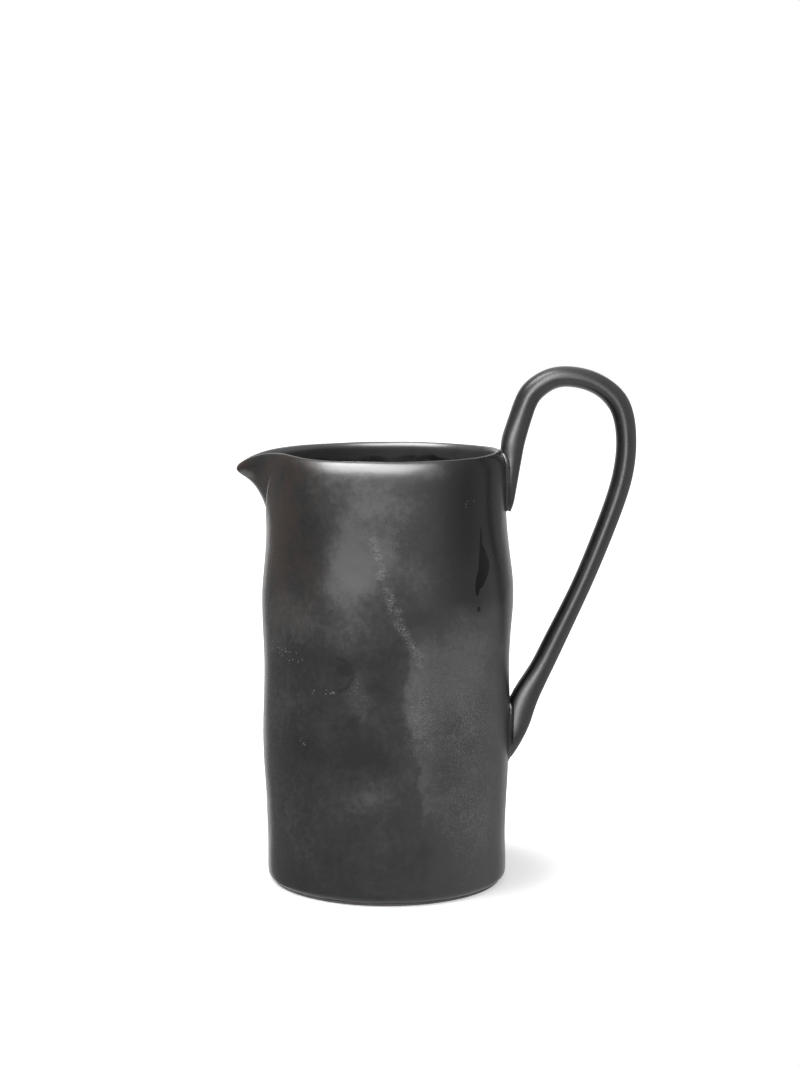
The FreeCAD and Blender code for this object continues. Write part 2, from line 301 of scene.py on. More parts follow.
def meshed(name, points, edges, faces):
    """A new object with a mesh of these points, edges and faces."""
    mesh = bpy.data.meshes.new(name)
    mesh.from_pydata(points, edges, faces)
    return placed(name, mesh)


def grid_mesh(name, grid, joined):
    """A closed mesh over rows of points that close around, its ends joined or capped."""
    rows, around = grid.shape[:2]
    faces = []
    for r in range(rows if joined else rows - 1):
        for c in range(around):
            low = r * around
            high = (r + 1) % rows * around
            right = (c + 1) % around
            faces.append((low + c, low + right, high + right, high + c))
    if not joined:
        faces.append(tuple(reversed(range(around))))
        faces.append(tuple(range((rows - 1) * around, rows * around)))
    piece = meshed(name, grid.reshape(-1, 3).tolist(), [], faces)
    shell = bmesh.new()
    shell.from_mesh(piece.data)
    bmesh.ops.recalc_face_normals(shell, faces=shell.faces)
    shell.to_mesh(piece.data)
    shell.free()
    return piece


def unit(directions):
    """The same directions, each of unit length."""
    return directions / np.maximum(np.linalg.norm(directions, axis=-1, keepdims=True), shortest)


def outward(grid, joined):
    """The unit normal at each point of such a grid, pointing out of the clay."""
    along = np.roll(grid, -1, 0) - np.roll(grid, 1, 0)
    if not joined:
        along[0] = grid[1] - grid[0]
        along[-1] = grid[-1] - grid[-2]
    across = np.roll(grid, -1, 1) - np.roll(grid, 1, 1)
    return unit(np.cross(across, along))


rim_stations = []
for below, depth in rim_shares:
    rim_stations.append((body_height - below * rim_roll_height, depth * rim_roll_depth))
wall_stations = outer_stations() + rim_stations + inner_stations()
wall_grid_points = wall_grid(wall_stations, wall_samples)

# Wall: marks of making
# The wall was beaten and rubbed to shape, which left soft flats all round it and one fold of
# rougher clay that runs down the front. A crease stays where the beak's wedge was let in.
flat_depth = 0.34 * mm
flat_size = 17.0 * mm
flat_seed = 3.0
ripple_depth = 0.07 * mm
ripple_size = 5.0 * mm
ripple_seed = 7.0
fold_depth = 0.42 * mm
fold_half_width = 8.0 * mm
fold_reach = 22.0 * mm
fold_crest = 1.4 * mm
fold_line = (
    (-8.0 * mm, 168.0 * mm),
    (-4.2 * mm, 153.0 * mm),
    (-0.8 * mm, 138.0 * mm),
    (7.6 * mm, 119.0 * mm),
    (16.0 * mm, 104.0 * mm),
    (14.0 * mm, 84.0 * mm),
    (17.0 * mm, 64.0 * mm),
)
crease_depth = 1.70 * mm
crease_lip = 0.6 * mm
crease_run_out = 4.5 * mm
crease_top = 184.0 * mm
crease_fade = 14.0 * mm
wedge_depth = 31.0 * mm
wedge_half_width = 28.0 * mm
wedge_tip_round = 5.0 * mm
luting_thickness = 0.8 * mm
wedge_slope = math.atan2(wedge_half_width, wedge_depth)
wedge_centre = body_height - wedge_depth + wedge_tip_round / math.sin(wedge_slope)


def distance_to_line(across, height, line):
    """How far each place, seen from the front, lies from a line with corners."""
    nearest = np.full(across.shape, np.inf)
    for start, end in zip(line, line[1:]):
        sideways, upright = across - start[0], height - start[1]
        run, climb = end[0] - start[0], end[1] - start[1]
        share = np.clip((sideways * run + upright * climb) / (run ** 2 + climb ** 2), 0.0, 1.0)
        gap = np.hypot(sideways - share * run, upright - share * climb)
        nearest = np.minimum(nearest, gap)
    return nearest


def past_wedge(sideways, height):
    """Distance from the outline of the beak's wedge, below zero on the beak's side."""
    side = np.abs(sideways)
    rise = height - wedge_centre
    at_tip = side * math.sin(wedge_slope) + rise * math.cos(wedge_slope) < 0.0
    on_tip = np.hypot(side, rise) - wedge_tip_round
    on_arm = side * math.cos(wedge_slope) - rise * math.sin(wedge_slope) - wedge_tip_round
    return np.where(at_tip, on_tip, on_arm)


def rough(points, size, seed):
    """Smooth noise between 0 and 1 with features of a given size."""
    shift = Vector((seed, 0.0, 0.0))
    values = [noise.noise(Vector(point) / size + shift) for point in points.reshape(-1, 3)]
    return 0.5 + 0.5 * np.array(values).reshape(points.shape[:-1])


def pressed_in(grid, normals):
    """How far tools and fingers left each point of the wall below its full size."""
    across, back, height = np.moveaxis(grid, 2, 0)
    outside = across * normals[..., 0] + back * normals[..., 1] > 0.0
    depth = flat_depth * rough(grid, flat_size, flat_seed)
    depth += ripple_depth * rough(grid, ripple_size, ripple_seed)
    gap = distance_to_line(across, height, fold_line)
    off_crest = np.hypot(gap, fold_crest) - fold_crest
    fold = (1.0 - np.exp(-off_crest / fold_half_width)) * np.exp(-(gap / fold_reach) ** 2)
    depth += fold_depth * np.where(outside & (back < 0.0), fold, 0.0)
    beyond = past_wedge(back, height)
    crease = np.exp(-np.abs(beyond) / np.where(beyond < 0.0, crease_run_out, crease_lip))
    fading = np.clip((crease_top - height) / crease_fade, 0.0, 1.0)
    depth += crease_depth * np.where(outside & (across < 0.0), crease * fading, 0.0)
    return depth


def lowered(grid, normals, depth):
    """The points of a grid, each sunk into the clay by its own depth."""
    return grid - normals * depth[..., None]


wall_normals = outward(wall_grid_points, True)
wall_marks = pressed_in(wall_grid_points, wall_normals)
wall_clay = grid_mesh("wall_clay", lowered(wall_grid_points, wall_normals, wall_marks), True)

# Beak joint
# The beak is a wedge of clay let into the wall at the rim and pulled out to a drooping lip.
# Slip was brushed on both cut edges before the wedge was pressed home.
block_reach = 100.0 * mm
block_top = 230.0 * mm
tip_steps = 10


def wedge_block(name, inset):
    """A block over the beak's side of the jug, pointed downward, drawn in by inset."""
    tip_round = wedge_tip_round - inset
    outline = []
    for step in range(2 * tip_steps + 1):
        turn = (step / tip_steps - 1.0) * (math.pi / 2.0 - wedge_slope)
        outline.append((tip_round * math.sin(turn), wedge_centre - tip_round * math.cos(turn)))
    above = block_top - outline[-1][1]
    outline.append((outline[-1][0] + above * math.tan(wedge_slope), block_top))
    outline.insert(0, (-outline[-1][0], block_top))
    rows = [[(0.0, y, z) for y, z in outline], [(-block_reach, y, z) for y, z in outline]]
    return grid_mesh(name, np.array(rows), False)


def settle(piece):
    """Makes what the modifiers show of a piece its own mesh."""
    mesh = bpy.data.meshes.new_from_object(
        piece.evaluated_get(bpy.context.evaluated_depsgraph_get()))
    piece.modifiers.clear()
    piece.data = mesh
    mesh.name = piece.name


def shaped(name, piece, *cuts):
    """A new piece: what is left of a copy after each cut, an operation and its block."""
    made = placed(name, piece.data.copy())
    for operation, block in cuts:
        cutting = made.modifiers.new("cut", "BOOLEAN")
        cutting.operation = operation
        cutting.solver = "MANIFOLD"
        cutting.object = block
    settle(made)
    return made


joint_block = wedge_block("joint_block", 0.0)
seat_block = wedge_block("seat_block", luting_thickness)
body_wall = shaped("body_wall_clay", wall_clay, ("DIFFERENCE", joint_block))
spout = shaped("spout_clay", wall_clay, ("INTERSECT", seat_block))
spout_slip = shaped(
    "spout_slip", wall_clay, ("INTERSECT", joint_block), ("DIFFERENCE", seat_block))

# Glaze
# One coat of satin black reactive glaze covers all but the foot. It breaks to gunmetal clouds
# where it lies thin, turns brown towards the beak, and ran in one glossy drip by the handle.
# Some clouds and a pale step on the front are painted reflection and highlight, and some dark clouds
# painted shade. The crease under the beak has painted shade and a painted highlight, and the inside has
# a painted reflection under the rim.
glaze_ior = 1.65
plain_mirror = 0.5
least_mirror = 0.10
plum_mirror = -0.30
drip_mirror = -0.20
plum_roughness = -0.05
drip_roughness = -0.24
beak_roughness = -0.10
grained_roughness = 0.08
black_tone = -0.1
plain_tone = 0.5
thin_tone = 1.5
mattest_tone = 1.1
cloud_size = 34.0 * mm
cloud_share = 0.8
back_share = 2.2
back_middle = 0.48
mottle_size = 13.0 * mm
mottle_share = 0.8
fine_size = 2.4 * mm
fine_share = 0.85
ragged_size = 10.0 * mm
ragged_reach = 9.0 * mm
streak_reach = 5.0 * mm
streak_width = 3.6 * mm
streak_gap_size = 3.5 * mm
grain_size = 0.50 * mm
grain_height = 0.10 * mm
peel_size = 1.7 * mm
peel_height = 0.030 * mm
drip_height = 0.05 * mm
# Painted reflection inside under the rim: how far its edge wavers
rim_reflection_waver = 7.0 * mm
# Painted light: the front is lighter on the facet just right of a line down its lower half
painted_light_edge_width = 2.5 * mm
painted_light_edge_lift = 0.42
painted_light_edge_rest = 0.25
ring_radius = 7.2 * mm
ring_share = 0.7
mark_depth = 0.60
plum_edge_share = 0.72
plum_share = 0.85
speck_share = 0.9
pinhole_spacing = 1.5 * mm
# Painted shade on the beak's side of its joint, and a painted highlight along the joint's edge
painted_crease_shade_side = -2.6 * mm
painted_crease_shade_width = 4.5 * mm
painted_crease_highlight_offset = 0.8 * mm
painted_crease_highlight_width = 1.1 * mm
black_glaze = (0.0030, 0.0027, 0.0029, 1.0)
plain_glaze = (0.0110, 0.0108, 0.0108, 1.0)
thin_glaze = (0.070, 0.070, 0.0695, 1.0)
warm_glaze = (0.0250, 0.0125, 0.0075, 1.0)
plum_glaze = (0.0048, 0.0030, 0.0040, 1.0)
# Pale specks and pinhole rims, and also the painted highlight along the beak's joint
speck_and_highlight_glaze = (0.24, 0.24, 0.237, 1.0)

# Where a mark comes in and where it is whole, in mm on the front
front_span = (8, -10)
# Where the painted reflection inside is lighter, under the rim and inside the beak
rim_reflection_span = (188, 190)
beak_reflection_span = (-24, -42)
beak_reflection_rim_span = (182, 188)
beak_gloss_span = (-24, -46)
crease_span = (-34, -44)
warm_across = (-16, -46)
warm_height = (95, 160)
plum_across = (16, 36)
plum_back = (-4, -24)
plum_edge = (122, 133)
plum_depth = (138, 166)
painted_light_edge_run_out = (17.5, 5)
painted_light_edge_top = (120, 108)
painted_light_edge_low = (28, 48)
ring_line_span = (1.2, 0.1)
ring_side_span = (-2, 4)

# The same for what has no size: noise, the sum of the ovals, and the way to the nearest pinhole
warm_patches = (0.35, 0.6)
streak_gaps = (0.3, 0.6)
speck_patches = (0.50, 0.72)
drip_rim = (0.35, 0.46)
pinhole_rim = (0.30, 0.45)
pit_ring_span = (0.26, 0.20)
pit_core_span = (0.15, 0.10)

# Marks on the front, in mm: across, height, half width, half height, and a weight
# Pale and dark clouds: partly the glaze's own gunmetal tone, and partly painted reflection and highlight
# of the lights on the dented front, with painted shade on dents that face away
glaze_clouds_and_painted_reflections = (
    (-15, 148, 10, 16, 1.60), (-5, 172, 12, 11, 0.60), (-18, 180, 20, 7, 0.40), (2, 155, 6, 9, 0.55),
    (-18, 119, 17, 9, 0.35), (23, 187, 13, 4, 0.60), (31, 106, 18, 17, 0.85), (26, 84, 20, 16, 0.35),
    (38, 40, 17, 30, 0.40), (-12, 93, 6, 10, 0.30), (-4, 30, 12, 20, 0.25), (-33, 158, 7, 9, -0.10),
    (14, 166, 9, 9, 0.15), (15, 145, 9, 9, 0.40), (7, 132, 5, 9, -0.20), (-4, 112, 11, 9, -0.15),
    (-41, 84, 10, 14, 0.35), (-37, 122, 9, 13, 0.45), (-47, 122, 9, 14, 0.40), (-9, 66, 14, 7, -0.45),
    (-35, 68, 11, 7, -0.30), (-13, 48, 17, 9, 0.24), (14, 125, 9, 5, -0.35), (20, 151, 6, 6, -0.40),
    (4, 128, 5, 6, 0.20), (-43, 40, 10, 28, 0.35), (18, 20, 14, 8, -0.25), (29, 160, 7, 28, -0.35),
    (39, 176, 10, 10, -0.45),
)
grain_areas = (
    (14.5, 82, 6, 17, 0.65), (35, 80, 14, 30, 0.6), (38, 36, 13, 18, 0.45), (0, 165, 14, 16, 0.22),
    (-12, 95, 4, 7, 0.4),
)
pinhole_areas = (
    (-48, 109.5, 3.2, 2.2, 1), (-41, 106, 5, 3, 1), (-29, 93, 4.2, 2, 1), (-23.5, 92, 1.6, 1.4, 1),
    (35, 173, 9, 5, 0.39), (-36, 70, 3, 3, 0.5),
)
drip = (
    (40.3, 156, 0.55, 6.5, 1), (41, 149, 1.3, 5, 1), (41.9, 145, 2.1, 4.8, 1), (40.2, 140, 1.7, 3.6, 1),
    (38.7, 136.6, 0.9, 3.6, 1), (39.4, 127.3, 0.8, 1.3, 1),
)
dark_spots = (
    (-14.5, 80, 2.6, 3.2, 1), (-6.4, 66, 1.2, 1, 1), (29, 77.5, 3.8, 3.6, 1), (35.7, 68.5, 3, 2.6, 1),
    (16.2, 24, 3, 3, 1), (-17.5, 104, 3.2, 3.4, 1),
)
grain_streak = ((-7, 163), (-4.2, 153), (-0.8, 138), (7.6, 119), (15, 106))
# The line with the painted lit facet right of it
painted_light_edge = ((8, 112), (7, 86), (10.5, 72), (14, 38))
ring_centre = (-22, 101)


class Outcome:
    """What a node gives out: a number, colour, place or shape that other nodes go on with."""

    def __init__(self, tree, socket):
        self.tree = tree
        self.socket = socket

    def __add__(self, other):
        return worked_out("ADD", self, other)

    def __sub__(self, other):
        return worked_out("SUBTRACT", self, other)

    def __rsub__(self, other):
        return worked_out("SUBTRACT", other, self)

    def __mul__(self, other):
        return worked_out("MULTIPLY", self, other)

    def __truediv__(self, other):
        return worked_out("DIVIDE", self, other)

    def __abs__(self):
        return worked_out("ABSOLUTE", self)


def fill(socket, value):
    """Puts a node's outcome or a plain value into a socket."""
    if isinstance(value, Outcome):
        value.tree.links.new(value.socket, socket)
    else:
        socket.default_value = value


def made_by(tree, kind, values, output=0, **settings):
    """What a new node of a kind gives out, once its sockets hold the values."""
    node = tree.nodes.new(kind)
    for name, setting in settings.items():
        setattr(node, name, setting)
    for socket, value in values.items():
        fill(node.inputs[socket], value)
    return Outcome(tree, node.outputs[output])


def worked_out(operation, *values, kind="ShaderNodeMath", output=0):
    """The result of one step of arithmetic, of which at least one value is an outcome."""
    tree = next(value.tree for value in values if isinstance(value, Outcome))
    return made_by(tree, kind, dict(enumerate(values)), output, operation=operation)


def vector_step(operation, *values, output="Vector"):
    """The result of one step of arithmetic on places."""
    return worked_out(operation, *values, kind="ShaderNodeVectorMath", output=output)


def smaller(first, second):
    """The smaller of two outcomes."""
    return worked_out("MINIMUM", first, second)


def larger(first, second):
    """The larger of two outcomes."""
    return worked_out("MAXIMUM", first, second)


def faded(value, start, end, low=0.0, high=1.0, interpolation_type="SMOOTHSTEP"):
    """A soft step from low at start to high at end."""
    return made_by(value.tree, "ShaderNodeMapRange", {
        "Value": value, "From Min": start, "From Max": end, "To Min": low, "To Max": high,
    }, "Result", interpolation_type=interpolation_type)


def over(value, span, low=0.0, high=1.0):
    """A soft step from low to high over a span in mm."""
    return faded(value, span[0] * mm, span[1] * mm, low, high)


def blended(share, first, second):
    """A colour between two colours."""
    return made_by(share.tree, "ShaderNodeMix", {0: share, 6: first, 7: second}, 2,
                   data_type="RGBA", clamp_factor=True)


def clouded(place, size, detail, distortion=0.0, output="Fac"):
    """Noise between 0 and 1 with features of a given size."""
    return made_by(place.tree, "ShaderNodeTexNoise", {
        "Vector": place, "Scale": 1.0 / size, "Detail": detail, "Distortion": distortion}, output)


def parted(whole):
    """The three parts of a place or a colour."""
    first = made_by(whole.tree, "ShaderNodeSeparateXYZ", {0: whole})
    return [Outcome(whole.tree, socket) for socket in first.socket.node.outputs]


def ovals(across, height, rows):
    """The sum of soft ovals, each at its weight in the middle and fading past its edge."""
    total = None
    for centre_across, centre_height, half_width, half_height, weight in rows:
        sideways = (across - centre_across * mm) / (half_width * mm)
        upright = (height - centre_height * mm) / (half_height * mm)
        spread = worked_out("MULTIPLY_ADD", upright, upright, sideways * sideways)
        oval = worked_out("POWER", math.exp(-1.0), spread) * weight
        total = total + oval if total else oval
    return total


def off_line(across, height, line):
    """The distance from a line with corners, drawn on the front."""
    place = made_by(across.tree, "ShaderNodeCombineXYZ", {"X": across, "Y": height})
    corners = [Vector((corner[0] * mm, corner[1] * mm, 0.0)) for corner in line]
    nearest = None
    for start, end in zip(corners, corners[1:]):
        run = end - start
        offset = vector_step("SUBTRACT", place, start)
        share = vector_step("DOT_PRODUCT", offset, run / run.length_squared, output="Value")
        on_line = vector_step("MULTIPLY", smaller(larger(share, 0.0), 1.0), run)
        gap = vector_step("DISTANCE", offset, on_line, output="Value")
        nearest = smaller(nearest, gap) if nearest else gap
    return nearest


def right_of(across, height, line):
    """A soft step to 1 just right of a line down the front, that fades further off and at its ends."""
    beside = across - line[0][0] * mm
    for upper, lower in zip(line, line[1:]):
        beside = beside - faded(height, upper[1] * mm, lower[1] * mm, 0.0,
                                (lower[0] - upper[0]) * mm, "LINEAR")
    step = faded(beside, 0.0, painted_light_edge_width)
    step = step * over(beside, painted_light_edge_run_out, painted_light_edge_rest, 1.0)
    return step * over(height, painted_light_edge_low) * over(height, painted_light_edge_top)


def new_material(name):
    """A material, its shader, and the place on the piece that its patterns follow."""
    material = bpy.data.materials.new(name)
    material.use_nodes = True
    tree = material.node_tree
    return material, tree.nodes["Principled BSDF"], made_by(tree, "ShaderNodeTexCoord", {}, "Object")


def roughened(shader, relief):
    """Gives the shader a fine relief, in metres."""
    fill(shader.inputs["Normal"], made_by(
        relief.tree, "ShaderNodeBump", {"Distance": 1.0, "Height": relief}))


def crease_painted_shade_and_highlight(across, back, height):
    """How much painted shade lies beside the beak's joint on the beak's side, and how much painted
    highlight lies along its edge.
    """
    past_arm = abs(back) * math.cos(wedge_slope)
    past_arm += (height - wedge_centre) * -math.sin(wedge_slope)
    past_arm -= wedge_tip_round
    under_beak = over(across, crease_span) * faded(height, crease_top, crease_top - crease_fade)
    painted_crease_shade = faded(abs(past_arm - painted_crease_shade_side), painted_crease_shade_width, 0.0)
    painted_crease_highlight = faded(abs(past_arm - painted_crease_highlight_offset), painted_crease_highlight_width, 0.0)
    return painted_crease_shade * under_beak, painted_crease_highlight * under_beak


def glaze(name, smoothest, roughest, lift=0.0, rim_painted_reflection=0.0, marked=False):
    """Satin black reactive glaze, with or without the marks on the front of the wall."""
    material, shader, place = new_material(name)
    across, back, height = parted(place)
    front = over(back, front_span)
    cloud = clouded(place, cloud_size, 3.0, 0.4)
    mottle = clouded(place, mottle_size, 4.0)
    tone = cloud * cloud_share + lift
    tone += (mottle - 0.5) * mottle_share
    tone += (clouded(place, fine_size, 3.0) - 0.5) * fine_share
    tone += (1.0 - front) * ((cloud - back_middle) * back_share)

    if marked:
        shift = parted(clouded(place, ragged_size, 2.5, output="Color"))
        ragged_across = (shift[0] - 0.5) * ragged_reach + across
        ragged_height = (shift[1] - 0.5) * ragged_reach + height
        # Painted reflection, highlight and shade of the dents, mixed with the glaze's own clouds
        tone += ovals(ragged_across, ragged_height, glaze_clouds_and_painted_reflections) * front
        # Painted light on the lit facet right of that line
        tone += right_of(ragged_across, ragged_height, painted_light_edge) * front * painted_light_edge_lift
        off_streak = off_line((shift[2] - 0.5) * streak_reach + across, height, grain_streak)
        streak = faded(off_streak, streak_width, 0.0)
        streak = streak * faded(clouded(place, streak_gap_size, 2.0), *streak_gaps)
        grained = larger(streak, ovals(ragged_across, ragged_height, grain_areas)) * front
        sideways = across - ring_centre[0] * mm
        upright = height - ring_centre[1] * mm
        off_ring = abs(worked_out("SQRT", sideways * sideways + upright * upright) - ring_radius)
        ring = over(off_ring, ring_line_span) * over(sideways, ring_side_span)
        tone -= (ring * ring_share + ovals(across, height, dark_spots)) * front * mark_depth
        gloss = faded(ovals(across, height, drip), *drip_rim) * front
        pitted = faded(ovals(across, height, pinhole_areas), *pinhole_rim) * front

    # Painted reflection: the inside is lighter in a ragged band under the rim, and more so in the beak
    if rim_painted_reflection:
        tone += over(mottle * rim_reflection_waver + height, rim_reflection_span, 0.0, rim_painted_reflection)
        tone += over(across, beak_reflection_span) * over(height, beak_reflection_rim_span) * (2.0 * rim_painted_reflection)
    colour = blended(faded(tone, black_tone, plain_tone), black_glaze, plain_glaze)
    colour = blended(faded(tone, plain_tone, thin_tone), colour, thin_glaze)
    relief = clouded(place, peel_size, 2.0) * peel_height
    roughness = faded(tone, 0.0, mattest_tone, smoothest, roughest)

    if marked:
        warm = over(across, warm_across) * over(height, warm_height) * faded(mottle, *warm_patches)
        plum = over(ragged_height, plum_edge, 0.0, plum_edge_share)
        plum += over(height, plum_depth, 0.0, 1.0 - plum_edge_share)
        plum = plum * over(across, plum_across) * over(back, plum_back)
        grain = clouded(place, grain_size, 1.0)
        specks = faded(grain, *speck_patches) * grained
        off_pinhole = made_by(place.tree, "ShaderNodeTexVoronoi", {
            "Vector": place, "Scale": 1.0 / pinhole_spacing}, "Distance")
        pit_ring = pitted * faded(off_pinhole, *pit_ring_span)
        pit_core = pitted * faded(off_pinhole, *pit_core_span)
        # Painted shade and a painted highlight along the beak's joint
        painted_crease_shade, painted_crease_highlight = crease_painted_shade_and_highlight(across, back, height)
        for share, mark in ((warm, warm_glaze), (plum * plum_share, plum_glaze),
                            (specks * speck_share, speck_and_highlight_glaze), (gloss, black_glaze),
                            (pit_ring, speck_and_highlight_glaze), (pit_core, black_glaze),
                            (painted_crease_shade, black_glaze), (painted_crease_highlight, speck_and_highlight_glaze)):
            colour = blended(share, colour, mark)
        roughness += grained * grained_roughness + plum * plum_roughness + gloss * drip_roughness
        roughness += over(across, beak_gloss_span, 0.0, beak_roughness)
        mirror = plum * plum_mirror + gloss * drip_mirror + plain_mirror
        fill(shader.inputs["Specular IOR Level"], larger(mirror, least_mirror))
        relief += grain * grained * grain_height + gloss * drip_height
    fill(shader.inputs["Base Color"], colour)
    fill(shader.inputs["Roughness"], roughness)
    shader.inputs["IOR"].default_value = glaze_ior
    roughened(shader, relief)
    return material


wall_glaze = glaze("satin_black_glaze", 0.31, 0.42, lift=-0.02, marked=True)
plain_satin = glaze("satin_black_glaze_plain", 0.32, 0.40)
inner_glaze = glaze("satin_black_glaze_inside", 0.24, 0.34, rim_painted_reflection=0.8)
pooled_glaze = glaze("pooled_black_glaze", 0.20, 0.30)
sharp_edge = math.radians(38.0)


def glazed(piece, outside, inside):
    """Smooth shading and the glaze, which is another one on faces that look at the jug's axis."""
    mesh = piece.data
    mesh.shade_smooth()
    mesh.set_sharp_from_angle(angle=sharp_edge)
    mesh.materials.clear()
    mesh.materials.append(outside)
    mesh.materials.append(inside)
    for face in mesh.polygons:
        inward = face.center.x * face.normal.x + face.center.y * face.normal.y < 0.0
        face.material_index = int(inward)


for piece in (body_wall, spout, spout_slip):
    glazed(piece, wall_glaze, inner_glaze)
    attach(piece, "root")
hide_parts("body_wall")
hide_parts("spout")
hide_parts("spout_luting_slip")

# Floor slab
# A slab of the same clay closes the bottom. It was cut to the inside of the wall and patted
# flat, so its upper face is a little uneven.
floor_thickness = 5.4 * mm
floor_sink = 0.5 * mm
floor_unevenness = 0.35 * mm
floor_patch_size = 14.0 * mm
floor_seed = 11.0
floor_samples = 160
floor_shares = (0.01, 0.12, 0.25, 0.4, 0.55, 0.7, 0.85, 0.96, 1.0)
floor_top = foot_ring_height + floor_thickness


def inside_ring(height, inward):
    """Points around the wall's inner face at a height, so far in from that face."""
    azimuths = np.arange(floor_samples) * 360.0 / floor_samples
    depth = clay_thickness(height) + inward
    return np.array([wall_point(azimuth, height, depth) for azimuth in azimuths])


floor_rows = []
for level, shares in ((foot_ring_height, floor_shares), (floor_top, floor_shares[::-1])):
    edge = inside_ring(level, -floor_sink)
    for share in shares:
        row = edge * share
        row[:, 2] = level
        floor_rows.append(row)
floor_points = np.array(floor_rows)
patted = rough(floor_points, floor_patch_size, floor_seed) * floor_unevenness
floor_points[..., 2] -= patted * (floor_points[..., 2] > foot_ring_height)
floor_slab = grid_mesh("floor_slab_clay", floor_points, False)
glazed(floor_slab, inner_glaze, inner_glaze)
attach(floor_slab, "root")
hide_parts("floor_slab")

# Floor corner coil
# A soft coil of clay was laid in the corner of wall and floor and drawn out both ways with a
# fingertip, so water can't leak there and nothing collects in the corner.
coil_reach = 8.0 * mm
coil_edge = 0.7 * mm
coil_sink = 0.6 * mm
coil_steps = 10
coil_lip_share = 0.3
coil_unevenness = 0.3 * mm
coil_patch_size = 9.0 * mm
coil_seed = 19.0

coil_lip = coil_lip_share * coil_edge
coil_profile = [(-coil_sink, -coil_sink), (-coil_sink, coil_reach), (coil_lip, coil_reach)]
for step in range(coil_steps + 1):
    turn = 0.5 * math.pi * (1.0 - step / coil_steps)
    coil_profile.append([coil_edge + (coil_reach - coil_edge) * (1.0 - side)
                         for side in (math.sin(turn), math.cos(turn))])
coil_profile += [(coil_reach, coil_lip), (coil_reach, -coil_sink)]
coil_points = np.array([inside_ring(floor_top + rise, inward) for inward, rise in coil_profile])
coil_marks = rough(coil_points, coil_patch_size, coil_seed) * coil_unevenness
corner_coil = grid_mesh(
    "floor_corner_coil_clay", lowered(coil_points, outward(coil_points, True), coil_marks), True)
glazed(corner_coil, inner_glaze, inner_glaze)
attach(corner_coil, "root")
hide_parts("floor_corner_coil")

# Foot ring
# The jug stands on a low ring, wiped clean of glaze so it doesn't stick to the kiln shelf.
# The bare stoneware there is grey-brown, matt and a little sandy.
foot_ring_width = 5.4 * mm
foot_ring_inset = 0.4 * mm
foot_ring_round = 0.4 * mm
foot_ring_samples = 240
foot_ring_corner_steps = 4
bare_clay = (0.19, 0.175, 0.16, 1.0)
bare_clay_dark = (0.10, 0.092, 0.086, 1.0)
sand_size = 0.6 * mm
sand_height = 0.06 * mm
stain_size = 12.0 * mm
stain_share = 0.6
stain_span = (0.3, 0.7)
sand_roughness = (0.2, 0.8, 0.75, 0.95)


def laid_along(name):
    """A node tree that lays a strip of clay with rounded edges along a closed line."""
    tree = bpy.data.node_groups.new(name, "GeometryNodeTree")
    tree.is_modifier = True
    for socket, kind in (("Line", "Geometry"), ("Width", "Float"), ("Height", "Float"),
                         ("Edge Round", "Float"), ("Corner Steps", "Int"), ("Clay", "Material")):
        tree.interface.new_socket(socket, in_out="INPUT", socket_type="NodeSocket" + kind)
    tree.interface.new_socket("Strip", in_out="OUTPUT", socket_type="NodeSocketGeometry")
    given = tree.nodes.new("NodeGroupInput").outputs
    line, width, height, edge_round, corner_steps, clay = [
        Outcome(tree, given[i]) for i in range(len(given) - 1)]
    line = made_by(tree, "GeometryNodeMeshToCurve", {"Mesh": line})
    line = made_by(tree, "GeometryNodeSetCurveNormal", {"Curve": line}, mode="Z_UP")
    section = made_by(tree, "GeometryNodeCurvePrimitiveQuadrilateral", {
        "Width": width, "Height": height})
    section = made_by(tree, "GeometryNodeFilletCurve", {
        "Curve": section, "Radius": edge_round, "Count": corner_steps}, mode="POLY")
    strip = made_by(tree, "GeometryNodeCurveToMesh", {"Curve": line, "Profile Curve": section})
    strip = made_by(tree, "GeometryNodeRealizeInstances", {"Geometry": strip})
    strip = made_by(tree, "GeometryNodeSetMaterial", {"Geometry": strip, "Material": clay})
    fill(tree.nodes.new("NodeGroupOutput").inputs["Strip"], strip)
    return tree


def grown_by(piece, tree, **inputs):
    """Gives the piece the mesh that a node tree makes of it with these inputs."""
    growth = piece.modifiers.new("growth", "NODES")
    growth.node_group = tree
    for item in tree.interface.items_tree:
        key = item.name.lower().replace(" ", "_")
        if key in inputs:
            growth[item.identifier] = inputs[key]
    bpy.context.view_layer.update()
    settle(piece)


bare_stoneware, bare_shader, bare_place = new_material("bare_stoneware")
sand = clouded(bare_place, sand_size, 3.0)
stain = clouded(bare_place, stain_size, 3.0)
bare_share = faded(stain * stain_share + sand * (1.0 - stain_share), *stain_span)
fill(bare_shader.inputs["Base Color"], blended(bare_share, bare_clay_dark, bare_clay))
fill(bare_shader.inputs["Roughness"], faded(sand, *sand_roughness))
roughened(bare_shader, sand * sand_height)

ring_depth = lower_edge_round + foot_ring_inset + 0.5 * foot_ring_width
ring_line = []
for step in range(foot_ring_samples):
    ring_place = wall_point(360.0 * step / foot_ring_samples, foot_ring_height, ring_depth)
    ring_line.append((ring_place[0], ring_place[1], 0.5 * foot_ring_height))
foot_ring = meshed("foot_ring_clay", ring_line, [
    (i, (i + 1) % foot_ring_samples) for i in range(foot_ring_samples)], [])
grown_by(foot_ring, laid_along("strip_along_line"), width=foot_ring_width, height=foot_ring_height,
         edge_round=foot_ring_round, corner_steps=foot_ring_corner_steps, clay=bare_stoneware)
foot_ring.data.shade_smooth()
foot_ring.data.set_sharp_from_angle(angle=sharp_edge)
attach(foot_ring, "root")
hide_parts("foot_ring")

